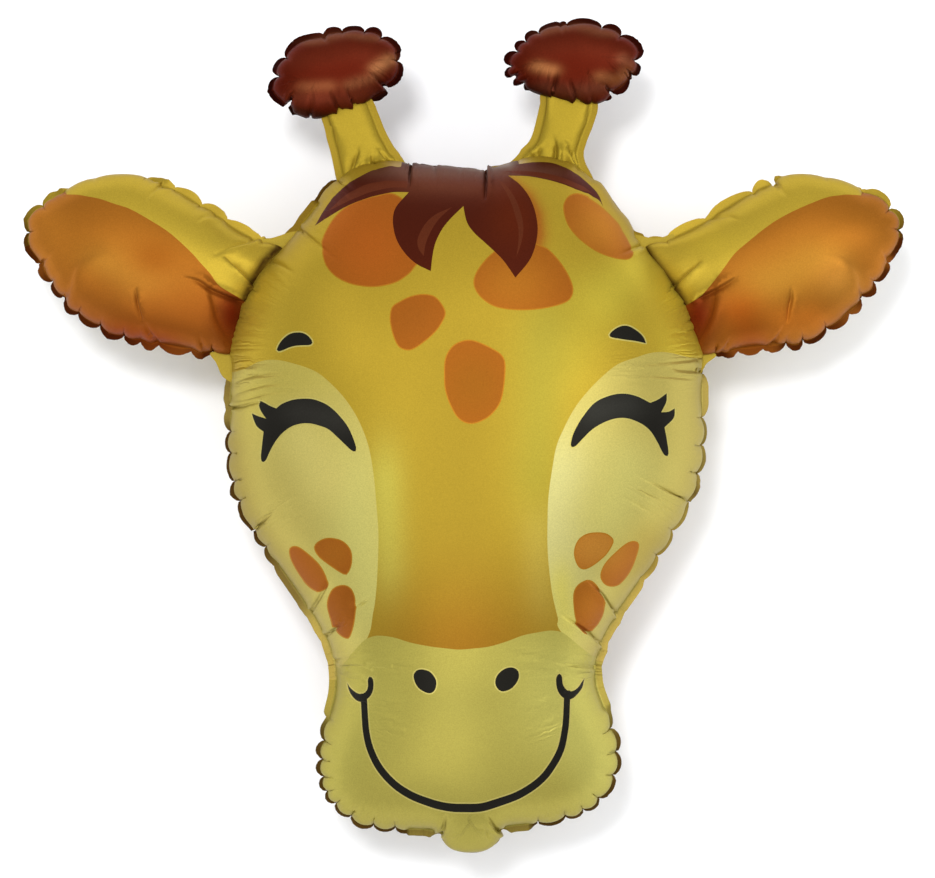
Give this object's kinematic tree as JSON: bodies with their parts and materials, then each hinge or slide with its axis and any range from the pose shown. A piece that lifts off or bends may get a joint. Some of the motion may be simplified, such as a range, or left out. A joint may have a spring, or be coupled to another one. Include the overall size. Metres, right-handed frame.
{
  "type": "giraffe head foil balloon",
  "caption": "Inflated foil balloon shaped as a smiling giraffe's head, with horns, ears and a filling neck at the chin, lying on its back.",
  "frame": {"origin": "under the middle of the balloon, on the surface that its back rests on", "axes": "+X to the right of the face as the picture shows it, +Y up the face towards the horns, +Z out of the face"},
  "size_m": [0.7514, 0.715, 0.2506],
  "materials": {
    "printed_foil": "satin metallised film, printed"
  },
  "bodies": {
    "root": {"foil_balloon": "printed_foil"}
  },
  "joints": []
}
